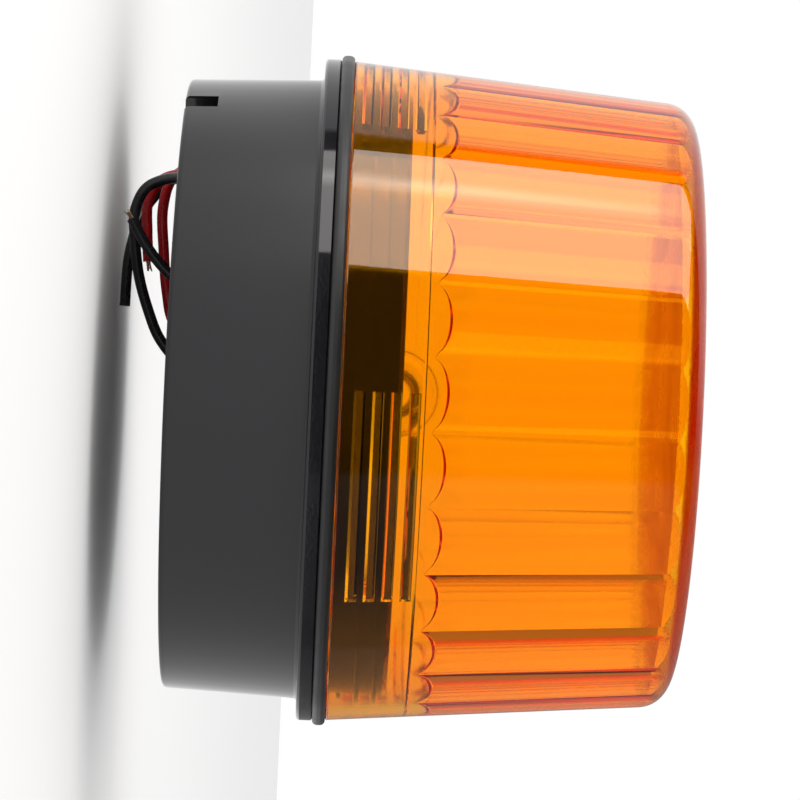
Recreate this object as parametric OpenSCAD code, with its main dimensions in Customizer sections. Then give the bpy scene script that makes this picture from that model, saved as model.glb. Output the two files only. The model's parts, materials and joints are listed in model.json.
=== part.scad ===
// Hard-wired amber warning light: a round base that bolts flat to a panel, a fluted
// lens that screws down over the base's threaded neck onto a rubber ring, and a
// flash-tube circuit inside. +Z runs up the lens axis; the origin is the centre of
// the base's mounting face. Lengths are millimetres, angles degrees.

/* [Base] */
// Outer radius of the skirt at its mounting rim
rim_r = 56.8; // [55.5:0.1:57.2]
// Outer radius of the skirt just under the flange
skirt_top_r = 57.7; // [57.4:0.1:58.4]
// Height of the flange's lower face above the mounting face
flange_z = 25; // [24:0.5:25]
// Thickness of the flange
flange_t = 3; // [2.5:0.1:3]
// Outer radius of the flange
flange_r = 61.7; // [60.5:0.1:62]
// Inner radius of the skirt
skirt_in_r = 54.4; // [53.5:0.1:54.6]
// Thickness of the deck that closes the base
deck_t = 3; // [2.5:0.1:3]
// Width of the cable notch in the rim
notch_w = 5; // [4.5:0.1:6]
// Depth of the cable notch in the rim
notch_h = 6; // [4.5:0.1:8]

/* [Mounting] */
// Diameter of the circle the mounting bolts lie on
bolt_circle_d = 88; // [86:1:90]
// Inner diameter of the steel bushes the bolts pass through
bush_d = 5.3; // [5.1:0.1:5.5]

/* [Screw thread of the lens] */
// Rise in one turn
pitch = 3.2; // [3.2:0.1:3.4]
// Radius of the neck between its thread ridges
neck_r = 56.4; // [56.2:0.1:56.5]
// Outer radius of the neck's thread ridge
ridge_r = 58; // [57.8:0.1:58]
// Number of thread sectors inside the lens
sector_count = 4; // [2:1:6]
// Angle that one thread sector covers
sector_angle = 38; // [30:1:40]

/* [Lens] */
// Thickness of the rubber ring under the lens
gasket_t = 2.4; // [2.2:0.1:2.6]
// Outer radius of the rubber ring
gasket_r = 62.5; // [62:0.1:63]
// Outer radius of the lens at its open end
lens_r = 61.5; // [61:0.1:61.8]
// Height of the lens
lens_h = 63.4; // [60:0.2:66]
// How far the outer wall leans in for each millimetre of height
lens_taper = 0.0855; // [0.07:0.0005:0.09]
// Outer radius of the corner round the top
lens_corner_r = 5.5; // [5:0.1:7]
// Height of the plain band that carries the thread sectors
band_h = 14.8; // [14.5:0.1:16]
// Mean wall thickness above the band
lens_wall = 2.8; // [2.4:0.1:3]
// Number of flutes inside the wall
flute_count = 28; // [12:1:40]
// Depth of a flute
flute_depth = 1.2; // [0.6:0.1:1.4]

/* [Leads] */
// Outer diameter of each wire
wire_d = 2; // [1.6:0.1:2]

/* [Circuit] */
// Radius of the circuit board
board_r = 42; // [41:0.5:43]
// Thickness of the circuit board
board_t = 1.6; // [1:0.2:1.6]

/* [Hidden] */

$fn = 96;
round_fn = 32;           // smaller round pieces
edge_steps = 6;          // straight steps in a rounded edge's profile
skin = 0.01;             // how far a cutter passes a face it opens
deck_top = flange_z + 0.5;
deck_z = deck_top - deck_t;
flange_top = flange_z + flange_t;
lens_z = flange_top + gasket_t;
lens_top = lens_z + lens_h;
band_top = lens_z + band_h;
band_in_r = 58.4;        // bore of the plain band, clear of the neck's ridge
neck_in_r = 53.9;
neck_top = lens_z + 10.8;
notch_angle = -154;      // direction of the cable notch from +X

bolt_angles = [0, 120, 240];
bolt_at = bolt_circle_d / 2;
boss_r = 5.5;
bush_r = 3.5;
bush_gap = 0.03;         // radial gap between a bush and its boss

// thread: a ridge on the neck that climbs from ridge_z, and arcs on the lens
// that lie in the groove between its turns
ridge_z = lens_z + 2.4;
ridge_turns = 2.25;
ridge_steps = 48;        // straight steps in one turn
ridge_root_w = 1.2;
ridge_crest_w = 0.6;
ridge_embed = 0.4;       // how deep the ridge sits in the neck
rib_crest_r = 57.4;
rib_root_w = 2.1;
rib_crest_w = 1.1;
sector_start = -90;      // the first sector's first edge, from +X

flute_steps = 6;         // straight steps across one flute
inner_corner_r = 3;      // rounding inside the top
seam_turn = 1;           // turns a round cutter's seam off the flutes' edges
lens_top_t = 3.2;        // thickness of the top at its edge
step_h = 5;              // height of the cone between the band and the flutes
step_slope = 0.45;       // how far that cone closes in for each millimetre of height
lens_dome = 0.4;         // rise of the top's middle

board_z = 31.5;
board_top = board_z + board_t;
screw_angles = [60, 180, 300];
screw_at = 38;
grommet_bore_r = 3.4;
grommet_core_r = 5.5;
wire_r = wire_d / 2;
leads_z = 25;            // where the free leads meet the inner ones
solder_h = 0.8;
strand_r = 0.55;
strand_l = 2.6;

// places of the three leads in the grommet
red_exit = [-1.6, -0.9];
black_exit = [1.6, -0.9];
spare_exit = [0, 1.8];

// routes of the free leads, from the grommet to the loose end, folded up in the
// hollow of the base with the last turn standing out of it
red_route = [[-1.6, -0.9, 25], [-1.6, -0.9, 20.5], [-4.5, 0.8, 16.5], [-9.5, 3, 16], [-17, 5, 16],
    [-25, 6, 16], [-32, 6, 15.5], [-38, 6, 12.5], [-41, 6, 7], [-41, 6, 1], [-38.5, 5.5, -3],
    [-33, 5, -4.5], [-25, 4.5, -4], [-17, 4, -3], [-11.5, 3.8, -1.5], [-8, 3.3, 2.8],
    [-9, 2.8, 7.5], [-13, 2.4, 10.2], [-19, 2, 10.5], [-26, 1.5, 10], [-32, 1, 8.5],
    [-37, 0.5, 5], [-39, 0, 0], [-38, 0, -4.5], [-34, 0, -7], [-28, 0, -7], [-22.5, -0.5, -6.5]];
black_route = [[1.6, -0.9, 25], [1.6, -0.9, 20.5], [-0.5, -3.5, 16.5], [-7, -5, 14.5],
    [-15, -5.5, 14], [-23, -5.5, 13.5], [-30, -5.5, 12], [-35, -5.5, 8.5], [-37.5, -5.5, 3],
    [-38, -5.5, -2.5], [-36, -5.5, -7.2], [-31.5, -5.5, -9.2], [-27, -5.5, -9], [-20, -5, -8],
    [-13.5, -4.5, -6], [-8, -4, -3.5], [-4, -4.5, 0.5], [-3.5, -5.5, 5.5], [-7, -6.5, 9.3],
    [-12, -7.5, 8.5], [-16, -8.3, 4], [-20, -8.8, -2], [-25, -9, -6.5], [-30, -9, -9.5]];
spare_route = [[0, 1.8, 25], [0, 1.8, 20.5], [-2.5, 4.6, 16.8], [-8, 8, 16], [-17, 11, 16],
    [-26, 12.5, 16], [-34, 13, 15], [-40, 13, 11.5], [-42, 13, 6], [-39, 13, 1.5],
    [-32, 13, -0.5], [-24, 12.5, -1], [-16, 12, -0.5], [-11, 11.5, 2], [-10, 11, 6],
    [-13, 10.4, 10], [-19, 9.8, 11], [-27, 9.5, 10.5], [-34.5, 9.5, 7.5], [-38.5, 9, 2],
    [-38.5, 8.5, -3], [-34.5, 7.5, -6.8], [-30.5, 5, -8.8], [-26.5, 2.5, -9.8],
    [-22, 1, -10.4], [-14, 0.5, -10.6]];
route_sides = 8;

// points of an arc about c with radius r, from angle a0 to a1
function arc(c, r, a0, a1, steps = edge_steps) =
    [for (i = [0:steps]) let (a = a0 + (a1 - a0) * i / steps) c + r * [cos(a), sin(a)]];

function unit(v) = v / norm(v);

// direction of a route at its point i
function along(route, i) =
    unit(route[min(i + 1, len(route) - 1)] - route[max(i - 1, 0)]);

// faces of a closed skin through steps + 1 rings of n points each
function swept_faces(n, steps) = concat(
    [[for (j = [n - 1:-1:0]) j]],
    [for (i = [0:steps - 1], j = [0:n - 1]) let (k = (j + 1) % n)
        [i * n + j, i * n + k, (i + 1) * n + k]],
    [for (i = [0:steps - 1], j = [0:n - 1]) let (k = (j + 1) % n)
        [i * n + j, (i + 1) * n + k, (i + 1) * n + j]],
    [[for (j = [0:n - 1]) steps * n + j]]);

module at_angles(angles, distance) {
    for (a = angles) rotate(a) translate([distance, 0, 0]) children();
}

module ring(outer_r, inner_r, z0, z1) {
    translate([0, 0, z0]) difference() {
        cylinder(r = outer_r, h = z1 - z0);
        translate([0, 0, -skin]) cylinder(r = inner_r, h = z1 - z0 + 2 * skin);
    }
}

// ---- base ----

// skirt, flange, deck and neck as one turned profile
module base_shell() {
    rim_edge = 0.9;
    flange_edge = 0.6;
    step_r = skirt_top_r + 0.4;
    rotate_extrude() polygon(concat(
        [[skirt_in_r, 0]],
        arc([rim_r - rim_edge, rim_edge], rim_edge, -90, 0),
        [[skirt_top_r, flange_z - 0.6], [step_r, flange_z]],
        arc([flange_r - flange_edge, flange_z + flange_edge], flange_edge, -90, 0),
        [[flange_r, flange_top - 0.3], [flange_r - 0.3, flange_top], [neck_r, flange_top],
         [neck_r, neck_top - 0.8], [neck_r - 0.8, neck_top], [neck_in_r, neck_top],
         [neck_in_r, deck_top], [grommet_core_r + 0.05, deck_top],
         [grommet_core_r + 0.05, deck_z], [skirt_in_r, deck_z]]));
}

// the neck's helical ridge, swept as one closed skin
module neck_ridge() {
    steps = ridge_turns * ridge_steps;
    root = neck_r - ridge_embed;
    section = [[root, -ridge_root_w / 2], [ridge_r, -ridge_crest_w / 2],
               [ridge_r, ridge_crest_w / 2], [root, ridge_root_w / 2]];
    n = len(section);
    points = [for (i = [0:steps], p = section) let (a = i * 360 / ridge_steps)
        [p[0] * cos(a), p[0] * sin(a), ridge_z + pitch * a / 360 + p[1]]];
    polyhedron(points, swept_faces(n, steps));
}

module base_housing() {
    rib_t = 2;
    rib_h = 9;
    color("#17181b") difference() {
        union() {
            base_shell();
            neck_ridge();
            at_angles(bolt_angles, bolt_at) translate([0, 0, 0.2])
                cylinder(r = boss_r, h = deck_z, $fn = round_fn);
            // ribs from the bosses out to the skirt
            for (a = bolt_angles) rotate(a)
                translate([bolt_at + boss_r - 1, -rib_t / 2, deck_z - rib_h])
                    cube([skirt_in_r + 0.8 - bolt_at - boss_r + 1, rib_t, rib_h + 0.5]);
            at_angles(screw_angles, screw_at) translate([0, 0, deck_top - 0.5])
                cylinder(r = 3.2, h = board_z - deck_top + 0.5, $fn = round_fn);
        }
        at_angles(bolt_angles, bolt_at) translate([0, 0, -1])
            cylinder(r = bush_r + bush_gap, h = flange_top + 2, $fn = round_fn);
        at_angles(screw_angles, screw_at) translate([0, 0, deck_top + 0.5])
            cylinder(r = 1.25, h = board_z, $fn = round_fn);
        rotate(notch_angle) translate([skirt_in_r - 3, -notch_w / 2, -1])
            cube([rim_r - skirt_in_r + 5, notch_w, notch_h + 1]);
    }
}

module mount_bushes() {
    color("#b9bcc0") at_angles(bolt_angles, bolt_at)
        ring(bush_r, bush_d / 2, 0, deck_top, $fn = round_fn);
}

module lens_gasket() {
    edge = 0.9;
    inner = ridge_r + 0.35;
    color("#0f0f10") rotate_extrude() polygon(concat(
        [[inner, flange_top]],
        arc([gasket_r - edge, flange_top + edge], edge, -90, 0),
        arc([gasket_r - edge, lens_z - edge], edge, 0, 90),
        [[inner, lens_z]]));
}

// ---- lens ----

function lens_out(z) = lens_r - lens_taper * (z - lens_z);

// the outside of the shell as one solid turned form
module lens_body() {
    lean = atan(lens_taper);
    corner_z = lens_top - lens_corner_r;
    corner_r = lens_out(corner_z) - lens_corner_r / cos(lean);
    rotate_extrude() polygon(concat(
        [[0, lens_z], [lens_r - 0.3, lens_z], [lens_r, lens_z + 0.3]],
        arc([corner_r, corner_z], lens_corner_r, lean, 90),
        [[corner_r / 2, lens_top + lens_dome * 0.75], [0, lens_top + lens_dome]]));
}

// a ring of shallow arcs that bulge inward between cusps at radius cusp_r
function flute_outline(cusp_r) =
    [for (k = [0:flute_count - 1], i = [0:flute_steps - 1])
        let (t = i / flute_steps, a = (k + t) * 360 / flute_count,
             r = cusp_r - flute_depth * 4 * t * (1 - t))
        r * [cos(a), sin(a)]];

// the hollow above the band: a leaning scalloped wall, cusps outward, under a turned
// top with a rounded corner
module fluted_hollow() {
    cusp_r = lens_out(band_top) - lens_wall + flute_depth / 2;
    high = lens_top - lens_top_t - band_top;
    corner_z = lens_top - lens_top_t - inner_corner_r;
    corner_x = lens_out(corner_z) - lens_wall + flute_depth / 2 + 0.4 - inner_corner_r;
    intersection() {
        translate([0, 0, band_top]) rotate(180 / flute_count)
            linear_extrude(height = high + 1, scale = 1 - lens_taper * (high + 1) / cusp_r)
                polygon(flute_outline(cusp_r));
        rotate(seam_turn) rotate_extrude() polygon(concat(
            [[0, band_top - 1], [lens_r, band_top - 1], [lens_r, corner_z]],
            arc([corner_x, corner_z], inner_corner_r, 0, 90),
            [[0, corner_z + inner_corner_r]]));
    }
}

// the plain band's bore, with a short cone that leads into the flutes
module band_hollow() {
    rotate(seam_turn) rotate_extrude() polygon([
        [0, lens_z - 1], [band_in_r, lens_z - 1], [band_in_r, band_top],
        [band_in_r - step_h * step_slope, band_top + step_h], [0, band_top + step_h]]);
}

module lens_shell() {
    difference() {
        lens_body();
        band_hollow();
        translate([0, 0, -skin]) fluted_hollow();
    }
}

module lens() {
    sector_step = 360 / sector_count;
    color("#ff8a00", 0.6) union() {
        lens_shell();
        for (s = [0:sector_count - 1]) {
            start = sector_start + s * sector_step;
            middle = start + sector_angle / 2;
            first = ridge_z + pitch * (middle / 360 + 0.5);
            for (z = [first - 3 * pitch:pitch:band_top - 1])
                if (z > lens_z + 1) rotate(start) rotate_extrude(angle = sector_angle)
                    polygon([[rib_crest_r, z - rib_crest_w / 2], [band_in_r + 0.3, z - rib_root_w / 2],
                             [band_in_r + 0.3, z + rib_root_w / 2], [rib_crest_r, z + rib_crest_w / 2]]);
        }
    }
}

// ---- cable entry ----

module cable_grommet() {
    lip_r = 7.5;
    lip_t = 2;
    edge = 0.6;
    color("#1b1b1c") rotate_extrude($fn = 48) polygon([
        [grommet_bore_r, deck_z - lip_t], [lip_r - edge, deck_z - lip_t],
        [lip_r, deck_z - lip_t + edge], [lip_r, deck_z], [grommet_core_r, deck_z],
        [grommet_core_r, deck_top], [lip_r, deck_top], [lip_r, deck_top + lip_t - edge],
        [lip_r - edge, deck_top + lip_t], [grommet_bore_r, deck_top + lip_t]]);
}

module strain_tie() {
    tie_in = 2.95;
    tie_z = 28.2;
    color("#e8e6df") union() {
        ring(tie_in + 1, tie_in, tie_z, tie_z + 2, $fn = 48);
        translate([tie_in + 0.5, -2, tie_z - 0.4]) cube([3.4, 4, 2.6]);
    }
}

module inner_lead(at) {
    translate([at[0], at[1], leads_z])
        cylinder(r = wire_r, h = board_z - solder_h - leads_z, $fn = 24);
}

module red_inner_lead() { color("#b3121b") inner_lead(red_exit); }

module black_inner_leads() {
    color("#1c1c1e") {
        inner_lead(black_exit);
        inner_lead(spare_exit);
    }
}

module solder_joints() {
    color("#c8c9cb") for (at = [red_exit, black_exit, spare_exit])
        translate([at[0], at[1], board_z - solder_h])
            cylinder(r1 = wire_r - 0.1, r2 = wire_r + 0.35, h = solder_h, $fn = 24);
}

// ---- free leads ----

// a tube of route_sides flats along a route
module wire(route) {
    n = route_sides;
    last = len(route) - 1;
    points = [for (i = [0:last])
        let (t = along(route, i), u = unit(cross(t, [0, 1, 0])), v = cross(t, u))
        for (j = [0:n - 1]) let (a = 360 * j / n) route[i] + wire_r * (cos(a) * u + sin(a) * v)];
    polyhedron(points, swept_faces(n, last));
}

// bare strands that stand on a route's end, in line with it
module strands(route) {
    last = len(route) - 1;
    d = unit(route[last] - route[last - 1]);
    translate(route[last]) rotate([0, acos(d[2]), atan2(d[1], d[0])])
        cylinder(r = strand_r, h = strand_l, $fn = 16);
}

module red_lead() { color("#b3121b") wire(red_route); }
module black_lead() { color("#1c1c1e") wire(black_route); }
module spare_lead() { color("#1c1c1e") wire(spare_route); }
module red_lead_strands() { color("#c9a27a") strands(red_route); }
module black_lead_strands() { color("#c9a27a") strands(black_route); }

// ---- circuit ----

module circuit_board() {
    bolt_relief_r = 7;
    color("#2f5d34") difference() {
        translate([0, 0, board_z]) cylinder(r = board_r, h = board_t);
        at_angles(bolt_angles, bolt_at + 1) translate([0, 0, board_z - 1])
            cylinder(r = bolt_relief_r, h = board_t + 2, $fn = 48);
        at_angles(screw_angles, screw_at) translate([0, 0, board_z - 1])
            cylinder(r = 1.6, h = board_t + 2, $fn = round_fn);
    }
}

module board_screws() {
    head_h = 1.9;
    color("#c4c6c9") at_angles(screw_angles, screw_at) difference() {
        translate([0, 0, board_top]) rotate_extrude($fn = round_fn) polygon(concat(
            [[0, -5.6], [0.7, -5.6], [1.2, -4.8], [1.2, 0]],
            [[2.8, 0]], arc([1.9, head_h - 0.9], 0.9, 0, 90), [[0, head_h]]));
        for (a = [0, 90]) rotate(a) translate([-1.5, -0.3, board_top + head_h - 1])
            cube([3, 0.6, 2]);
    }
}

leg_at = 5.5;            // half the spacing of the flash tube's legs
tube_r = 2.75;
tube_in_r = 1.9;
holder_r = 9;
holder_h = 6;
socket_h = 3.5;
leg_z = board_top + holder_h - socket_h;
bend_z = 40.5;

module tube_legs() { for (x = [-leg_at, leg_at]) translate([x, 0, 0]) children(); }

module tube_holder() {
    color("#d8d5cc") difference() {
        translate([0, 0, board_top]) rotate_extrude($fn = 48) polygon([
            [0, 0], [holder_r, 0], [holder_r, 2], [holder_r - 0.8, 2.8],
            [holder_r - 0.8, holder_h - 0.8], [holder_r - 1.6, holder_h], [0, holder_h]]);
        tube_legs() translate([0, 0, leg_z])
            cylinder(r = tube_r + 0.05, h = holder_h, $fn = round_fn);
    }
}

module flash_tube() {
    color("#dfe8ea", 0.5) union() {
        tube_legs() ring(tube_r, tube_in_r, leg_z, bend_z, $fn = round_fn);
        translate([0, 0, bend_z]) rotate([90, 0, 0]) rotate_extrude(angle = 180)
            translate([leg_at, 0]) difference() {
                circle(r = tube_r, $fn = round_fn);
                circle(r = tube_in_r, $fn = round_fn);
            }
    }
}

module tube_electrodes() {
    color("#9a9c9f") tube_legs() translate([0, 0, leg_z]) union() {
        cylinder(r = 0.5, h = 4, $fn = 16);
        translate([0, 0, 2]) cylinder(r = 1.3, h = 2.5, $fn = 24);
    }
}

module trigger_bands() {
    band_z = board_top + holder_h + 0.1;
    color("#a9a9a4") tube_legs() ring(tube_r + 0.35, tube_r + 0.03, band_z, band_z + 1.2, $fn = 24);
}

module trigger_coil() {
    color("#3a2a18") translate([18, 3, board_top]) union() {
        translate([-4, -3.5, 0]) cube([8, 7, 1.5]);
        translate([-4, -3.5, 6.5]) cube([8, 7, 1.5]);
        cylinder(r = 3.2, h = 7, $fn = round_fn);
    }
}

core = [20, 8, 8];
limb_w = 5;
window = [4.5, 4];
transformer_at = [15, -21];

module transformer_core() {
    color("#2b2b2d") translate([transformer_at[0], transformer_at[1], board_top]) difference() {
        translate([-core[0] / 2, -core[1] / 2, 0]) cube(core);
        for (x = [-limb_w / 2 - window[0], limb_w / 2])
            translate([x, -core[1], (core[2] - window[1]) / 2])
                cube([window[0], 2 * core[1], window[1]]);
    }
}

module transformer_winding() {
    gap = 0.2;
    out = limb_w / 2 + window[0] - gap;
    wide = 7;
    low = (core[2] - window[1]) / 2 + gap;
    color("#d3a93a") translate([transformer_at[0], transformer_at[1], board_top + low]) difference() {
        translate([-out, -wide, 0]) cube([2 * out, 2 * wide, window[1] - 2 * gap]);
        translate([-limb_w / 2 - gap, -core[1] / 2 - gap, -1])
            cube([limb_w + 2 * gap, core[1] + 2 * gap, window[1] + 2]);
    }
}

module can(r, length, $fn = 48) {
    rotate_extrude() polygon([
        [0, 0], [r - 0.8, 0], [r, 0.8], [r, 2.4], [r - 0.6, 3.1], [r, 3.8],
        [r, length - 0.6], [r - 0.6, length], [r - 1.6, length], [r - 1.6, length - 0.5],
        [0, length - 0.5]]);
}

module storage_capacitor() {
    r = 4;
    color("#1d1e22") translate([-15, 24, board_top + r + 0.2]) rotate([0, 90, 0]) can(r, 30);
}

module filter_capacitor() {
    color("#20242e") translate([-27, -10, board_top]) can(5, 8);
}

module film_capacitors() {
    color("#a5402a") for (at = [[28, 11], [28, 19]])
        translate([at[0], at[1], board_top]) difference() {
            translate([-5, -2.5, 0]) cube([10, 5, 7.5]);
            for (x = [-5, 5]) translate([x, 0, 7.5]) rotate([90, 0, 0])
                cylinder(r = 1.2, h = 6, center = true, $fn = 4);
        }
}

sink_at = [-9, -33];

module heat_sink() {
    fin_t = 1.5;
    wide = 20;
    high = 8;
    color("#a8abaf") translate([sink_at[0], sink_at[1], board_top]) union() {
        translate([-wide / 2, 0, 0]) cube([wide, fin_t, high]);
        for (x = [-wide / 2, -fin_t / 2, wide / 2 - fin_t])
            translate([x, -4, 0]) cube([fin_t, 4.5, high]);
    }
}

module power_transistor() {
    body_y = sink_at[1] + 1.5;
    color("#222224") translate([sink_at[0], body_y, board_top]) union() {
        difference() {
            translate([-5, 0, 2]) cube([10, 1.3, 6.2]);
            translate([0, 3, 7.2]) rotate([90, 0, 0]) cylinder(r = 0.6, h = 6, $fn = 24);
        }
        translate([-5, 1, 2]) cube([10, 3.4, 4]);
        for (x = [-2.54, 0, 2.54]) translate([x - 0.4, 2, 0]) cube([0.8, 0.5, 3]);
    }
}

module control_chip() {
    body = [9.4, 6.4, 3.3];
    color("#1a1a1b") translate([-26, 7, board_top]) union() {
        translate([-body[0] / 2, -body[1] / 2, 0.7]) cube(body);
        for (i = [0:3], side = [-1, 1])
            translate([(i - 1.5) * 2.54 - 0.3, side * 3.4 - 0.25, 0]) cube([0.6, 0.5, 2.4]);
    }
}

// an axial part: round body on two bent legs, lying along X
module axial(r, length) {
    leg_x = length / 2 + 1.5;
    leg_r = 0.3;
    translate([0, 0, board_top + r + 0.3]) {
        rotate([0, 90, 0]) cylinder(r = r, h = length, center = true, $fn = 24);
        rotate([0, 90, 0]) cylinder(r = leg_r, h = 2 * leg_x, center = true, $fn = 16);
        for (x = [-leg_x + leg_r, leg_x - leg_r]) translate([x, 0, -r - 0.3])
            cylinder(r = leg_r, h = r + 0.3, $fn = 16);
    }
}

module resistors() {
    color("#c9b48a") for (at = [[-13, -14], [-13, -18.5], [-13, -23], [-15, 12.5]])
        translate([at[0], at[1], 0]) axial(1.2, 6.5);
}

module diodes() {
    color("#232325") for (at = [[31, -6], [31, 3], [4, 13]])
        translate([at[0], at[1], 0]) axial(1.35, 5);
}

base_housing();
mount_bushes();
lens_gasket();
lens();
cable_grommet();
strain_tie();
circuit_board();
board_screws();
tube_holder();
flash_tube();
tube_electrodes();
trigger_bands();
trigger_coil();
transformer_core();
transformer_winding();
storage_capacitor();
filter_capacitor();
film_capacitors();
power_transistor();
heat_sink();
control_chip();
resistors();
diodes();
solder_joints();
red_inner_lead();
black_inner_leads();
red_lead();
black_lead();
spare_lead();
red_lead_strands();
black_lead_strands();
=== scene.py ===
import json
import math
import random

import bmesh
import bpy
from mathutils import Matrix, Vector


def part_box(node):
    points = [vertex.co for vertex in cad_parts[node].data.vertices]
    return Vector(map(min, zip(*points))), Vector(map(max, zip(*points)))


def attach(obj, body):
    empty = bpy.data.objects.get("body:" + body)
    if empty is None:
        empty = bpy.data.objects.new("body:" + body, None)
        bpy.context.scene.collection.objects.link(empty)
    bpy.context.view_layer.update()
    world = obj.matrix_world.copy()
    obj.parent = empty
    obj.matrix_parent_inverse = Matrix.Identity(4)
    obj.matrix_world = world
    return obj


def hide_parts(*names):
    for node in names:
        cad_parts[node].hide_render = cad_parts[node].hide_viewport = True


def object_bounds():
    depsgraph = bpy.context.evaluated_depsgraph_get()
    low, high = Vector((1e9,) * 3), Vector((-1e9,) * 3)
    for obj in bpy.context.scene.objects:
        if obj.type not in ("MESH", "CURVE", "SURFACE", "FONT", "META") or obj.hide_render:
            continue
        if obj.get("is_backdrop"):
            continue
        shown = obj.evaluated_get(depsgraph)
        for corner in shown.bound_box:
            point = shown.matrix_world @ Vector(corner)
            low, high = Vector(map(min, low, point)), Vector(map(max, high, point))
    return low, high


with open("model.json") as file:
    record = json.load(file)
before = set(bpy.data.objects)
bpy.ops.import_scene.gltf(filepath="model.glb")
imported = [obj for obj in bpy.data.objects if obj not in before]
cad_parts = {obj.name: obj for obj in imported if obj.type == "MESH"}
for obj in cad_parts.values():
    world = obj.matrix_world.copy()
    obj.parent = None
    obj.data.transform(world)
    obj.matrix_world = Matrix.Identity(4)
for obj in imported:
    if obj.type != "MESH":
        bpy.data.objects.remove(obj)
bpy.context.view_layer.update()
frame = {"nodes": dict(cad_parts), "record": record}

# The light stands upright: +Z is the lens axis and z = 0 the mounting face.
# Lengths are metres; MM turns a millimetre value into metres.
MM = 0.001
nodes = frame["nodes"]
lens_low, lens_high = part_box("lens")

# ---------------------------------------------------------------- camera

AXIS_ROLL = 2.66                # degrees the lens axis dips to the right in the picture
CAMERA_DISTANCE = 0.72
FOCAL_LENGTH = 173.0            # mm
SENSOR_WIDTH = 36.0             # mm
CAMERA_HEIGHT = lens_low.z      # level with the open end of the lens
AIM = Vector((1.2 * MM, 0.0, 41.7 * MM))


def make_camera():
    """Looks along +Y, rolled so that the lens axis runs to the right and -X is up."""
    data = bpy.data.cameras.new("camera")
    data.lens = FOCAL_LENGTH
    data.sensor_width = SENSOR_WIDTH
    data.clip_start = 0.01
    data.clip_end = 50.0
    camera = bpy.data.objects.new("camera", data)
    bpy.context.scene.collection.objects.link(camera)
    place = Vector((AIM.x, -CAMERA_DISTANCE, CAMERA_HEIGHT))
    back = (place - AIM).normalized()
    roll = math.radians(AXIS_ROLL)
    right = Vector((-math.sin(roll), 0.0, math.cos(roll)))
    right = (right - right.dot(back) * back).normalized()
    up = back.cross(right)
    turn = Matrix((right, up, back)).transposed().to_4x4()
    camera.matrix_world = Matrix.Translation(place) @ turn
    bpy.context.scene.camera = camera


make_camera()

# ---------------------------------------------------------------- leads

WIRE_D = 2.0 * MM
STRAND_R = 0.13 * MM
STRAND_SPACING = 0.3 * MM       # from the middle strand's centre to the others'
STRAND_SINK = 0.3 * MM          # how far inside the insulation the strands begin
STRAND_BEND = 0.15 * MM
STRAND_TWIST = 1.2              # radians along a strand
STRAND_SIDES, STRAND_RINGS = 8, 7

# the routes of the free leads in millimetres, as in the part's source
RED_ROUTE = [
    (-1.6, -0.9, 25), (-1.6, -0.9, 20.5), (-4.5, 0.8, 16.5), (-9.5, 3, 16), (-17, 5, 16),
    (-25, 6, 16), (-32, 6, 15.5), (-38, 6, 12.5), (-41, 6, 7), (-41, 6, 1), (-38.5, 5.5, -3),
    (-33, 5, -4.5), (-25, 4.5, -4), (-17, 4, -3), (-11.5, 3.8, -1.5), (-8, 3.3, 2.8),
    (-9, 2.8, 7.5), (-13, 2.4, 10.2), (-19, 2, 10.5), (-26, 1.5, 10), (-32, 1, 8.5),
    (-37, 0.5, 5), (-39, 0, 0), (-38, 0, -4.5), (-34, 0, -7), (-28, 0, -7), (-22.5, -0.5, -6.5)]
BLACK_ROUTE = [
    (1.6, -0.9, 25), (1.6, -0.9, 20.5), (-0.5, -3.5, 16.5), (-7, -5, 14.5),
    (-15, -5.5, 14), (-23, -5.5, 13.5), (-30, -5.5, 12), (-35, -5.5, 8.5), (-37.5, -5.5, 3),
    (-38, -5.5, -2.5), (-36, -5.5, -7.2), (-31.5, -5.5, -9.2), (-27, -5.5, -9), (-20, -5, -8),
    (-13.5, -4.5, -6), (-8, -4, -3.5), (-4, -4.5, 0.5), (-3.5, -5.5, 5.5), (-7, -6.5, 9.3),
    (-12, -7.5, 8.5), (-16, -8.3, 4), (-20, -8.8, -2), (-25, -9, -6.5), (-30, -9, -9.5)]
SPARE_ROUTE = [
    (0, 1.8, 25), (0, 1.8, 20.5), (-2.5, 4.6, 16.8), (-8, 8, 16), (-17, 11, 16),
    (-26, 12.5, 16), (-34, 13, 15), (-40, 13, 11.5), (-42, 13, 6), (-39, 13, 1.5),
    (-32, 13, -0.5), (-24, 12.5, -1), (-16, 12, -0.5), (-11, 11.5, 2), (-10, 11, 6),
    (-13, 10.4, 10), (-19, 9.8, 11), (-27, 9.5, 10.5), (-34.5, 9.5, 7.5), (-38.5, 9, 2),
    (-38.5, 8.5, -3), (-34.5, 7.5, -6.8), (-30.5, 5, -8.8), (-26.5, 2.5, -9.8),
    (-22, 1, -10.4), (-14, 0.5, -10.6)]


def smooth_route(route, steps=10):
    """Points in metres on a centripetal Catmull-Rom curve through the route."""
    p = [Vector(q) * MM for q in route]
    p = [2 * p[0] - p[1]] + p + [2 * p[-1] - p[-2]]
    points = []
    for a, b, c, d in zip(p, p[1:], p[2:], p[3:]):
        t0 = 0.0
        t1 = t0 + math.sqrt((b - a).length)
        t2 = t1 + math.sqrt((c - b).length)
        t3 = t2 + math.sqrt((d - c).length)
        for i in range(steps):
            t = t1 + (t2 - t1) * i / steps
            ab = a.lerp(b, (t - t0) / (t1 - t0))
            bc = b.lerp(c, (t - t1) / (t2 - t1))
            cd = c.lerp(d, (t - t2) / (t3 - t2))
            abc = ab.lerp(bc, (t - t0) / (t2 - t0))
            bcd = bc.lerp(cd, (t - t1) / (t3 - t1))
            points.append(abc.lerp(bcd, (t - t1) / (t2 - t1)))
    return points + [p[-2]]


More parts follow.
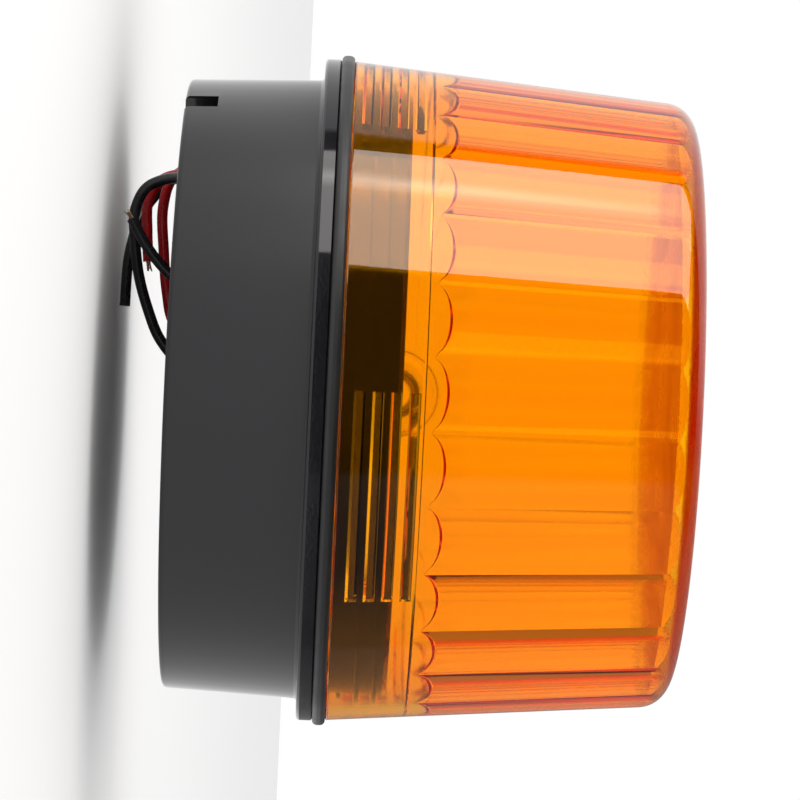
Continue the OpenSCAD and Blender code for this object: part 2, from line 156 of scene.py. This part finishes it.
def link(obj, body):
    """Puts a new piece in the scene, on a body."""
    bpy.context.scene.collection.objects.link(obj)
    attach(obj, body)
    return obj


def tube(name, points, diameter, resolution=6):
    """A round wire with closed ends, as one open spline."""
    curve = bpy.data.curves.new(name, "CURVE")
    curve.dimensions = "3D"
    curve.bevel_depth = 1.0     # the radius is on the points, so that the curve's box is true
    curve.bevel_resolution = resolution
    curve.use_fill_caps = True
    spline = curve.splines.new("POLY")
    spline.points.add(len(points) - 1)
    for place, point in zip(spline.points, points):
        place.co = (*point, 1.0)
        place.radius = diameter / 2
    return link(bpy.data.objects.new(name, curve), "base")


def strand_bundle(name, points):
    """Bare copper strands that stand on a wire's cut end, twisted and a little splayed."""
    end, along = points[-1], (points[-1] - points[-2]).normalized()
    side = along.cross(Vector((0.0, 1.0, 0.0))).normalized()
    other = along.cross(side)
    rng = random.Random(7)
    bm = bmesh.new()
    places = [(0.0, 0.0)] + [(STRAND_SPACING, k * math.tau / 6) for k in range(6)]
    for radius, angle in places:
        long = rng.uniform(1.7, 2.6) * MM
        splay = rng.uniform(0.0, 0.3) * MM
        lean = rng.uniform(0, math.tau)
        loops = []
        for i in range(STRAND_RINGS + 1):
            t = i / STRAND_RINGS
            turn = angle + STRAND_TWIST * t
            r = radius + splay * t * t
            centre = (end + along * (long * t - STRAND_SINK)
                      + side * (r * math.cos(turn) + STRAND_BEND * t * t * math.cos(lean))
                      + other * (r * math.sin(turn) + STRAND_BEND * t * t * math.sin(lean)))
            loops.append([bm.verts.new(centre + STRAND_R * (side * math.cos(a) + other * math.sin(a)))
                          for a in (k * math.tau / STRAND_SIDES for k in range(STRAND_SIDES))])
        for low, high in zip(loops, loops[1:]):
            for k in range(STRAND_SIDES):
                n = (k + 1) % STRAND_SIDES
                bm.faces.new((low[k], low[n], high[n], high[k]))
        bm.faces.new(loops[0][::-1])
        bm.faces.new(loops[-1])
    return link(mesh_object(name, bm), "base")


def mesh_object(name, bm, sharp=None):
    """Turns a bmesh into an object; edges bent by more than sharp degrees stay crisp."""
    bmesh.ops.recalc_face_normals(bm, faces=bm.faces[:])
    for face in bm.faces:
        face.smooth = True
    if sharp is not None:
        for edge in bm.edges:
            edge.smooth = len(edge.link_faces) == 2 and edge.calc_face_angle() < math.radians(sharp)
    mesh = bpy.data.meshes.new(name)
    bm.to_mesh(mesh)
    bm.free()
    return bpy.data.objects.new(name, mesh)


LEADS = (("red", RED_ROUTE, "red_pvc"), ("black", BLACK_ROUTE, "black_pvc"),
         ("spare", SPARE_ROUTE, "black_pvc"))
leads, strands = {}, []
for lead, route, slot in LEADS:
    points = smooth_route(route)
    wire = tube(f"{lead}_wire", points, WIRE_D)
    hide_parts(f"{lead}_lead")
    if lead != "spare":
        bare = strand_bundle(f"{lead}_wire_strands", points)
        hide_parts(f"{lead}_lead_strands")
        strands.append(bare)
    leads[lead] = wire

# ---------------------------------------------------------------- lens

BAND_H = 14.8 * MM
LENS_R = 61.5 * MM
TAPER = 0.0855
CORNER_R = 5.5 * MM
WALL = 2.8 * MM
BAND_T = 2.3 * MM
FLUTES = 28
FLUTE_DEPTH = 1.2 * MM
DOME = 0.4 * MM
INNER_CORNER_R = 3.0 * MM
TOP_T = 3.2 * MM
STEP_H = 4.2 * MM               # how far above the band the middle of a flute ends
NOSE = 0.6                      # length of a nose over the height of its bulge
PITCH = 3.2 * MM
RIB_CREST_R = 57.4 * MM
RIB_ROOT_W, RIB_CREST_W = 2.0 * MM, 1.1 * MM
SECTORS, SECTOR_ANGLE, SECTOR_START = 4, 38.0, -90.0
RIDGE_Z = lens_low.z + 2.4 * MM
RIBS = 4
RIM_EDGE_R = 0.35 * MM
CORNER_REACH = 0.4 * MM         # how far the inner corner's arc goes past the cusps
LEDGE_W, LEDGE_EDGE_H, LEDGE_H = 0.35 * MM, 0.2 * MM, 0.5 * MM   # the small step at the band's top
TOP = lens_high.z - DOME
BAND_TOP = lens_low.z + BAND_H


def outer_r(z):
    return LENS_R - TAPER * (z - lens_low.z)


def flute_share(angle):
    """How far across its flute an angle is, from 0 at one cusp to 1 at the next."""
    t = (angle - SECTOR_START) * FLUTES / 360 + 0.5
    return t - math.floor(t)


def bore_r(z):
    """Radius of the plain band's bore, which leans in with the outside."""
    return outer_r(z) - BAND_T


def cusp_line(z):
    """Radius of the cusps between the flutes."""
    return outer_r(z) - WALL + FLUTE_DEPTH / 2


def flute_r(angle, z):
    """Radius of the fluted inner wall; the cusps point outward between shallow arcs."""
    t = flute_share(angle)
    return cusp_line(z) - FLUTE_DEPTH * 4 * t * (1 - t)


def sector_share(angle):
    """Which thread sector an angle is in, or None, and the ribs' lowest height there."""
    step = 360 / SECTORS
    turn = (angle - SECTOR_START) % 360
    index = int(turn // step)
    inside = turn - index * step
    here, there = first_rib(index), first_rib((index + 1) % SECTORS)
    if inside <= SECTOR_ANGLE:
        return index, here
    share = (inside - SECTOR_ANGLE) / (step - SECTOR_ANGLE)
    return None, here + (there - here) * share


def first_rib(index):
    middle = SECTOR_START + index * 360 / SECTORS + SECTOR_ANGLE / 2
    z = RIDGE_Z + PITCH * (middle / 360 + 0.5)
    while z - PITCH > lens_low.z + 1.0 * MM:
        z -= PITCH
    return z


def lens_columns(per_flute=16, edge=0.04):
    """Angles of the lens's columns: even, with a close pair at each sector's edges."""
    step = 360 / (FLUTES * per_flute)
    edges = [SECTOR_START + s * 360 / SECTORS + e for s in range(SECTORS) for e in (0, SECTOR_ANGLE)]
    angles = []
    for k in range(FLUTES * per_flute):
        a = SECTOR_START + (k + 0.37) * step
        if all(abs((a - e + 180) % 360 - 180) > 3 * edge for e in edges):
            angles.append(a)
    angles += [e + d for e in edges for d in (-edge, edge)]
    return sorted((a - SECTOR_START) % 360 + SECTOR_START for a in angles)


def lens_profile(angle):
    """The closed outline at one angle, as (radius, height), from the rim out and over the
    top, then in and down to the rim again. The count of points is the same at every angle."""
    lean = math.atan(TAPER)
    z0 = lens_low.z
    edge = RIM_EDGE_R
    out = [(bore_r(z0) + 0.2 * MM, z0), (LENS_R - edge, z0)]
    for i in range(1, 7):
        a = math.radians(-90 + 15 * i)
        out.append((LENS_R - edge + edge * math.cos(a), z0 + edge + edge * math.sin(a)))
    out.append((outer_r(z0 + edge + 0.1 * MM), z0 + edge + 0.1 * MM))
    corner_z = TOP - CORNER_R
    corner_r = outer_r(corner_z) - CORNER_R / math.cos(lean)
    wall_rows = 12
    for i in range(1, wall_rows):
        z = z0 + edge + (corner_z - z0 - edge) * i / wall_rows
        out.append((outer_r(z), z))
    for i in range(15):
        a = lean + (math.pi / 2 - lean) * i / 14
        out.append((corner_r + CORNER_R * math.cos(a), corner_z + CORNER_R * math.sin(a)))
    for share in (0.85, 0.65, 0.45, 0.25, 0.1):
        out.append((corner_r * share, TOP + DOME * (1 - share * share)))
    split = len(out)
    # the inside: top, rounded corner, fluted wall, step and band
    in_top = TOP - TOP_T
    cz = in_top - INNER_CORNER_R
    cr = outer_r(cz) - WALL + FLUTE_DEPTH / 2 + CORNER_REACH - INNER_CORNER_R
    for share in (0.1, 0.25, 0.45, 0.65, 0.85):
        out.append((cr * share, in_top))
    low, high = cz, in_top
    for _ in range(30):
        z = (low + high) / 2
        if cr + math.sqrt(max(0.0, INNER_CORNER_R ** 2 - (z - cz) ** 2)) > flute_r(angle, z):
            low = z
        else:
            high = z
    meet = math.asin((low - cz) / INNER_CORNER_R)
    for i in range(9):
        a = math.pi / 2 + (meet - math.pi / 2) * i / 8
        out.append((cr + INNER_CORNER_R * math.cos(a), cz + INNER_CORNER_R * math.sin(a)))
    # each flute's bulge ends above the band in a rounded nose
    t = flute_share(angle)
    foot = BAND_TOP + STEP_H * math.sqrt(4 * t * (1 - t)) + 0.1 * MM
    for i in range(1, 13):
        z = low + (foot - low) * i / 12
        out.append((flute_r(angle, z), z))
    bulge = cusp_line(foot) - flute_r(angle, foot)
    for i in range(1, 5):
        a = math.radians(90 * i / 4)
        z = foot - NOSE * bulge * math.sin(a)
        out.append((cusp_line(z) - bulge * math.cos(a), z))
    out += [(cusp_line(BAND_TOP), BAND_TOP),
            (cusp_line(BAND_TOP) - LEDGE_W, BAND_TOP - LEDGE_EDGE_H),
            (bore_r(BAND_TOP - LEDGE_H), BAND_TOP - LEDGE_H)]
    index, first = sector_share(angle)
    for j in range(RIBS - 1, -1, -1):
        z = first + j * PITCH
        for half in (RIB_ROOT_W / 2, RIB_CREST_W / 2, -RIB_CREST_W / 2, -RIB_ROOT_W / 2):
            on_rib = index is not None and abs(half) < RIB_ROOT_W / 2
            out.append((RIB_CREST_R if on_rib else bore_r(z + half), z + half))
    out.append((bore_r(z0), z0 + 0.2 * MM))
    return out, split


def build_lens():
    angles = lens_columns()
    bm = bmesh.new()
    grid = []
    for angle in angles:
        profile, split = lens_profile(angle)
        a = math.radians(angle)
        grid.append([bm.verts.new((r * math.cos(a), r * math.sin(a), z)) for r, z in profile])
    rows = len(grid[0])
    crown = bm.verts.new((0, 0, TOP + DOME))
    ceiling = bm.verts.new((0, 0, TOP - TOP_T))
    columns = len(grid)
    for c in range(columns):
        here, there = grid[c], grid[(c + 1) % columns]
        for r in range(rows):
            s = (r + 1) % rows
            if s == split:
                bm.faces.new((here[r], crown, there[r]))
                bm.faces.new((here[s], there[s], ceiling))
                continue
            bm.faces.new((here[r], here[s], there[s], there[r]))
    return mesh_object("amber_lens", bm, sharp=12)


lens = link(build_lens(), "lens")
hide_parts("lens")

# ---------------------------------------------------------------- materials

AMBER = (0.98, 0.58, 0.05)
INSIDE_ROUGH = 0.05
CEILING_ROUGH = 0.25
INSIDE_FROM, INSIDE_TO = 1.63 * MM, 1.75 * MM       # depth at which a surface counts as the inside


class Nodes:
    """Adds nodes to a tree. A value given to a socket is another node's output or a constant."""

    def __init__(self, tree):
        self.tree = tree

    def give(self, socket, value):
        if isinstance(value, bpy.types.NodeSocket):
            self.tree.links.new(value, socket)
        else:
            socket.default_value = value

    def node(self, kind, **inputs):
        made = self.tree.nodes.new(kind)
        for name, value in inputs.items():
            self.give(made.inputs[name.replace("_", " ")], value)
        return made

    def ramp(self, value, low, high, out_low, out_high, how="LINEAR"):
        """Maps a value between low and high to out_low and out_high, clamped."""
        made = self.node("ShaderNodeMapRange", Value=value, From_Min=low, From_Max=high,
                         To_Min=out_low, To_Max=out_high)
        made.interpolation_type = how
        return made.outputs[0]

    def math(self, how, a, b=0.0):
        made = self.tree.nodes.new("ShaderNodeMath")
        made.operation = how
        for socket, value in zip(made.inputs, (a, b)):
            self.give(socket, value)
        return made.outputs[0]

    def mix(self, factor, a, b):
        """A colour between a and b; each is a socket or an (r, g, b)."""
        made = self.tree.nodes.new("ShaderNodeMix")
        made.data_type = "RGBA"
        for index, value in ((0, factor), (6, a), (7, b)):
            self.give(made.inputs[index], (*value, 1.0) if isinstance(value, tuple) else value)
        return made.outputs[2]

    def between(self, factor, a, b):
        """A number between a and b."""
        made = self.tree.nodes.new("ShaderNodeMix")
        for index, value in ((0, factor), (2, a), (3, b)):
            self.give(made.inputs[index], value)
        return made.outputs[0]


class Surface(Nodes):
    """A Principled material with helpers for the nodes that give it detail."""

    def __init__(self, name, color, rough=0.4, metal=0.0, **sockets):
        self.material = bpy.data.materials.new(name)
        self.material.use_nodes = True
        super().__init__(self.material.node_tree)
        self.shader = self.tree.nodes["Principled BSDF"]
        self.output = self.tree.nodes["Material Output"]
        self.set("Base Color", (*color, 1.0))
        self.set("Roughness", rough)
        self.set("Metallic", metal)
        for socket, value in sockets.items():
            self.set(socket.replace("_", " "), value)
        self.coord = self.node("ShaderNodeTexCoord").outputs["Object"]

    def set(self, socket, value):
        self.shader.inputs[socket].default_value = value

    def noise(self, scale, detail=4.0, rough=0.5, stretch=None):
        """Noise from 0 to 1; scale is how many grains fit in a metre."""
        vector = self.coord
        if stretch is not None:
            vector = self.node("ShaderNodeMapping", Vector=vector, Scale=stretch).outputs[0]
        return self.node("ShaderNodeTexNoise", Vector=vector, Scale=scale, Detail=detail,
                         Roughness=rough).outputs["Fac"]

    def feed(self, socket, value):
        self.tree.links.new(value, self.shader.inputs[socket])

    def bump(self, height, depth, strength=1.0):
        """Bump with a height of depth metres at strength; chained bumps add up."""
        made = self.node("ShaderNodeBump", Height=height, Distance=depth, Strength=strength)
        before = self.shader.inputs["Normal"]
        if before.is_linked:
            self.tree.links.new(before.links[0].from_socket, made.inputs["Normal"])
        self.tree.links.new(made.outputs[0], before)

    def absorb(self, color, density):
        volume = self.tree.nodes.new("ShaderNodeVolumeAbsorption")
        volume.inputs["Color"].default_value = (*color, 1.0)
        volume.inputs["Density"].default_value = density
        self.tree.links.new(volume.outputs[0], self.output.inputs["Volume"])

    def position(self, axis):
        made = self.node("ShaderNodeSeparateXYZ", Vector=self.coord)
        return made.outputs["XYZ".index(axis)]


def moulded(name, color, rough, grain=2500.0, grain_depth=0.004, wear=0.1, **sockets):
    """Moulded plastic or rubber: faint grain, cloudy gloss, fine dust and paler edges."""
    s = Surface(name, color, rough, **sockets)
    cloud = s.noise(90.0, 3.0)
    fine = s.noise(grain, 2.0)
    dust = s.ramp(s.noise(1400.0, 6.0, 0.7), 0.66, 0.78, 0.0, 1.0)
    s.feed("Roughness", s.math("ADD", s.ramp(cloud, 0.3, 0.7, rough * 0.8, rough * 1.25),
                               s.math("MULTIPLY", dust, 0.12)))
    pointed = s.node("ShaderNodeNewGeometry").outputs["Pointiness"]
    edge = s.ramp(pointed, 0.52, 0.6, 0.0, wear)
    pale = tuple(min(1.0, c * 1.6 + 0.05) for c in color)
    s.feed("Base Color", s.mix(s.math("ADD", edge, s.math("MULTIPLY", dust, 0.04)), color, pale))
    s.bump(fine, grain_depth * MM)
    return s


def metal(name, color, rough, stretch=(1.0, 1.0, 12.0), depth=0.003):
    """Drawn or plated metal with directional marks and a little tarnish."""
    s = Surface(name, color, rough, metal=1.0)
    marks = s.noise(1800.0, 3.0, stretch=stretch)
    tarnish = s.ramp(s.noise(260.0, 4.0), 0.45, 0.75, 0.0, 0.5)
    s.feed("Roughness", s.ramp(marks, 0.3, 0.7, rough * 0.75, rough * 1.4))
    s.feed("Base Color", s.mix(tarnish, color, tuple(c * 0.72 for c in color)))
    s.bump(marks, depth * MM)
    return s


def amber():
    """Amber polycarbonate, tinted mostly by the wall as such and a little by its thickness. The
    outside is polished, the inside a little duller, and the underside of the top grained."""
    s = Surface("amber_polycarbonate", AMBER, 0.0, Transmission_Weight=1.0, IOR=1.57)
    s.absorb((0.998, 0.945, 0.55), 1000.0)
    x, y, z = (s.position(axis) for axis in "XYZ")
    radius = s.math("SQRT", s.math("ADD", s.math("MULTIPLY", x, x), s.math("MULTIPLY", y, y)))
    wall = s.math("SUBTRACT", LENS_R + TAPER * lens_low.z,
                  s.math("ADD", radius, s.math("MULTIPLY", z, TAPER)))
    depth = s.math("MINIMUM", wall, s.math("SUBTRACT", TOP, z))
    inside = s.ramp(depth, INSIDE_FROM, INSIDE_TO, 0.0, 1.0)
    ceiling = s.math("MULTIPLY", inside,
                     s.ramp(z, TOP - TOP_T - 1.6 * MM, TOP - TOP_T - 0.6 * MM, 0.0, 1.0))
    cloud = s.ramp(s.noise(60.0, 3.0), 0.35, 0.75, 0.7, 1.4)
    rough = s.math("ADD", s.math("ADD", s.math("MULTIPLY", inside, INSIDE_ROUGH), 0.012),
                   s.math("MULTIPLY", ceiling, CEILING_ROUGH))
    s.feed("Roughness", s.math("MULTIPLY", rough, cloud))
    s.bump(s.noise(35.0, 1.0), 0.01 * MM)
    s.bump(s.math("MULTIPLY", s.noise(1300.0, 3.0, 0.6), ceiling), 0.1 * MM)
    return s.material


def finish_materials():
    """One material for each of the record's slots, keyed by slot."""
    made = {}

    s = moulded("black_abs", (0.006, 0.006, 0.008), 0.06, 1600.0, 0.002, 0.06, Coat_Weight=0.0,
                Specular_IOR_Level=0.5)
    scuff = s.ramp(s.noise(420.0, 5.0, 0.6, (1.0, 1.0, 0.06)), 0.62, 0.72, 0.0, 0.006)
    s.bump(scuff, 1.0 * MM, 0.4)
    made["base_plastic"] = s

    made["gasket_rubber"] = moulded("ring_rubber", (0.009, 0.009, 0.009), 0.42, 1800.0, 0.01, 0.15)
    made["grommet_rubber"] = moulded("grommet_rubber", (0.012, 0.012, 0.012), 0.55, 1500.0, 0.012)
    made["nylon"] = moulded("nylon", (0.72, 0.7, 0.62), 0.4, 1500.0, 0.004, Subsurface_Weight=0.1)
    made["zinc_steel"] = metal("zinc_steel", (0.6, 0.61, 0.62), 0.26)
    made["nickel"] = metal("nickel", (0.55, 0.53, 0.49), 0.3)
    made["sink_aluminium"] = metal("sink_aluminium", (0.68, 0.69, 0.71), 0.34, (1.0, 1.0, 0.08))
    made["solder"] = metal("solder", (0.66, 0.67, 0.68), 0.22, (1.0, 1.0, 1.0), 0.02)
    made["copper_strands"] = metal("copper_strands", (0.72, 0.5, 0.38), 0.28)

    s = moulded("solder_mask", (0.015, 0.085, 0.03), 0.3, 900.0, 0.004)
    tracks = s.tree.nodes.new("ShaderNodeTexBrick")
    s.tree.links.new(s.coord, tracks.inputs["Vector"])
    tracks.inputs["Scale"].default_value = 260.0
    tracks.inputs["Mortar Size"].default_value = 0.06
    s.feed("Base Color", s.mix(tracks.outputs["Fac"], (0.012, 0.075, 0.026), (0.03, 0.16, 0.055)))
    s.bump(tracks.outputs["Fac"], 0.035 * MM)
    made["board_laminate"] = s

    made["tube_ceramic"] = moulded("tube_ceramic", (0.66, 0.64, 0.57), 0.6, 1200.0, 0.02)
    made["coil_varnish"] = coil("coil_varnish", (0.16, 0.05, 0.015), 3600.0)
    made["winding_tape"] = coil("winding_tape", (0.62, 0.4, 0.03), 700.0)
    made["ferrite"] = moulded("ferrite", (0.03, 0.03, 0.032), 0.5, 2200.0, 0.03)
    made["capacitor_sleeve"] = moulded("capacitor_sleeve", (0.012, 0.013, 0.018), 0.25, 700.0, 0.006)
    made["film_case"] = moulded("film_case", (0.4, 0.07, 0.03), 0.2, 600.0, 0.02)
    made["device_epoxy"] = moulded("device_epoxy", (0.012, 0.012, 0.012), 0.5, 3000.0, 0.012)

    s = moulded("resistor_body", (0.55, 0.4, 0.22), 0.35, 1500.0, 0.004)
    bands = s.node("ShaderNodeTexWave", Vector=s.coord, Scale=110.0, Distortion=0.0)
    s.feed("Base Color", s.mix(s.ramp(bands.outputs["Fac"], 0.78, 0.82, 0.0, 1.0),
                               (0.55, 0.4, 0.22), (0.18, 0.04, 0.02)))
    made["resistor_body"] = s

    s = Surface("tube_glass", (1.0, 1.0, 1.0), 0.0, Transmission_Weight=1.0, IOR=1.47)
    s.feed("Roughness", s.ramp(s.noise(300.0), 0.3, 0.7, 0.0, 0.05))
    s.bump(s.noise(120.0, 1.0), 0.01 * MM)
    made["tube_glass"] = s

    made["red_pvc"] = pvc("red_pvc", (0.42, 0.004, 0.008))
    made["black_pvc"] = pvc("black_pvc", (0.012, 0.012, 0.014))
    return {slot: s.material for slot, s in made.items()}


def coil(name, color, turns_per_metre):
    """Varnished or taped winding: fine turns round the vertical, with painted shade that darkens the grooves
    between the turns.
    """
    s = Surface(name, color, 0.3, Coat_Weight=0.4, Coat_Roughness=0.15)
    height = s.position("Z")
    turn = s.math("SINE", s.math("MULTIPLY", height, turns_per_metre * math.tau))
    s.bump(turn, 0.05 * MM)
    # painted shade: the colour darkens towards each groove between turns, where the bump dips
    s.feed("Base Color", s.mix(s.ramp(turn, -1.0, 0.2, 0.5, 0.0), color, tuple(c * 0.4 for c in color)))
    s.feed("Roughness", s.ramp(s.noise(500.0), 0.3, 0.7, 0.22, 0.42))
    return s


def pvc(name, color):
    """Flexible PVC insulation: satin, a little uneven from the extruder, with dusty smears."""
    s = Surface(name, color, 0.3, Specular_IOR_Level=0.45, Coat_Weight=0.15, Coat_Roughness=0.25)
    smear = s.ramp(s.noise(260.0, 5.0, 0.65), 0.52, 0.72, 0.0, 1.0)
    s.feed("Base Color", s.mix(s.math("MULTIPLY", smear, 0.12), color, tuple(c * 0.6 + 0.08 for c in color)))
    s.feed("Roughness", s.ramp(smear, 0.0, 1.0, 0.26, 0.45))
    s.bump(s.noise(700.0, 3.0), 0.03 * MM)
    s.bump(s.noise(4000.0, 2.0), 0.004 * MM)
    return s


def paint():
    finishes = finish_materials()
    slot_of = {row["node"]: row["material_slot"] for row in frame["record"]["subparts"]}
    for name, obj in nodes.items():
        if name == "lens":
            continue
        obj.data.materials.clear()
        obj.data.materials.append(finishes[slot_of[name]])
    for lead, _, slot in LEADS:
        leads[lead].data.materials.append(finishes[slot])
    for bare in strands:
        bare.data.materials.append(finishes["copper_strands"])
    lens.data.materials.append(amber())


paint()

# ---------------------------------------------------------------- studio

# white seen in the gloss, where the picture's up is -X; a direction's parts run from -1 to 1
BOOTH_EDGE = (0.14, 0.2)        # how far towards +Y the open white begins
BOOTH_UPPER, BOOTH_LOWER, BOOTH_UNDER, BOOTH_DARK = 0.87, 0.22, 0.13, 0.012
# white seen through the lens
THROUGH_LIGHT = 1.2             # how much the white behind outshines the picture's white
THROUGH_FRONT = 0.3             # the same on the camera's side
FLOOR_HALF = 3.0
FLOOR_DROP = 1.0 * MM           # below the lowest lead


def make_world():
    """White all round to look at and to shine through the lens. Gloss sees the white only
    behind the light, as it would in a booth that is open and dark towards the camera."""
    world = bpy.data.worlds.new("studio")
    bpy.context.scene.world = world
    world.use_nodes = True
    n = Nodes(world.node_tree)
    path = n.node("ShaderNodeLightPath").outputs
    direction = n.node("ShaderNodeTexCoord").outputs["Generated"]
    x, y, z = n.node("ShaderNodeSeparateXYZ", Vector=direction).outputs

    def fade(*numbers):
        return n.ramp(*numbers, how="SMOOTHSTEP")

    far = n.math("MULTIPLY", fade(y, *BOOTH_EDGE, 0.0, 1.0),
                 fade(x, -0.15, 0.15, BOOTH_UPPER, BOOTH_LOWER))
    near = n.math("MULTIPLY", fade(x, 0.44, 0.5, 0.0, BOOTH_UNDER), fade(y, *BOOTH_EDGE, 1.0, 0.0))
    booth = n.math("ADD", n.math("ADD", far, near), BOOTH_DARK)
    through = n.math("GREATER_THAN", path["Transmission Depth"], 0.5)
    gloss = n.math("MULTIPLY", path["Is Glossy Ray"], n.math("SUBTRACT", 1.0, through))
    shine = n.math("MULTIPLY", fade(y, -0.45, 0.1, THROUGH_FRONT, THROUGH_LIGHT),
                   fade(x, 0.15, 0.8, 1.0, 0.4))
    shine = n.math("MAXIMUM", shine, fade(z, 0.15, 0.5, 0.0, THROUGH_LIGHT))
    level = n.between(through, 1.0, shine)
    shade = n.tree.nodes["Background"]
    n.give(shade.inputs["Strength"], n.between(gloss, level, booth))
    shade.inputs["Color"].default_value = (1.0, 1.0, 1.0, 1.0)


# the softbox's outline as (side, height) in metres, from its lower end up: narrow, then wide
SOFTBOX = [(-0.175, -0.101), (0.164, -0.101), (0.25, -0.067), (0.305, -0.045), (0.399, 0.19),
           (0.42, 0.9), (-0.42, 0.9), (-0.395, 0.19), (-0.317, -0.045), (-0.301, -0.067)]
SOFTBOX_ANGLE = -66.0
SOFTBOX_DISTANCE = 0.9
SOFTBOX_LIGHT = 3.8
LAMP_ANGLE = 9.0                # degrees from the softbox's middle to its bright lamp


def softbox():
    """A glowing panel beyond the camera's upper side that shows in the gloss as one clean
    patch. The angle is measured round the axis from the camera's side towards -X."""
    a = math.radians(SOFTBOX_ANGLE)
    out = Vector((math.sin(a), -math.cos(a), 0.0))
    side = Vector((math.cos(a), math.sin(a), 0.0))
    bm = bmesh.new()
    bm.faces.new([bm.verts.new(out * SOFTBOX_DISTANCE + side * s + Vector((0, 0, h)))
                  for s, h in SOFTBOX])
    mesh = bpy.data.meshes.new("softbox")
    bm.to_mesh(mesh)
    bm.free()
    panel = bpy.data.objects.new("softbox", mesh)
    bpy.context.scene.collection.objects.link(panel)
    s = Surface("softbox_glow", (0.0, 0.0, 0.0), 1.0, Emission_Color=(1.0, 0.97, 0.95, 1.0))
    across = s.node("ShaderNodeVectorMath", Vector=s.coord)
    across.operation = "DOT_PRODUCT"
    across.inputs[1].default_value = side
    lamp = -SOFTBOX_DISTANCE * math.tan(math.radians(LAMP_ANGLE))
    off = s.math("ABSOLUTE", s.math("SUBTRACT", across.outputs["Value"], lamp))
    hot = s.math("MULTIPLY", s.ramp(off, 0.0, 0.07, 1.0, 0.0),
                 s.ramp(s.position("Z"), 0.2, 0.32, 0.8, 0.0))
    s.feed("Emission Strength", s.math("MULTIPLY", s.math("ADD", hot, 1.0), SOFTBOX_LIGHT))
    mesh.materials.append(s.material)
    panel.visible_camera = False
    panel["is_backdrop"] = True


def make_floor():
    z = min(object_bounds()[0].z, 0.0) - FLOOR_DROP
    bm = bmesh.new()
    bm.faces.new([bm.verts.new((x * FLOOR_HALF, y * FLOOR_HALF, z))
                  for x, y in ((-1, -1), (1, -1), (1, 1), (-1, 1))])
    floor = mesh_object("floor", bm)
    bpy.context.scene.collection.objects.link(floor)
    s = Surface("floor_white", (0.9, 0.9, 0.9), 0.7)
    s.bump(s.noise(200.0), 0.02 * MM)
    floor.data.materials.append(s.material)
    floor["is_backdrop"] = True


make_world()
softbox()
make_floor()
scene = bpy.context.scene
scene.view_settings.view_transform = "Standard"
scene.cycles.max_bounces = 24
scene.cycles.glossy_bounces = 16
scene.cycles.transmission_bounces = 20
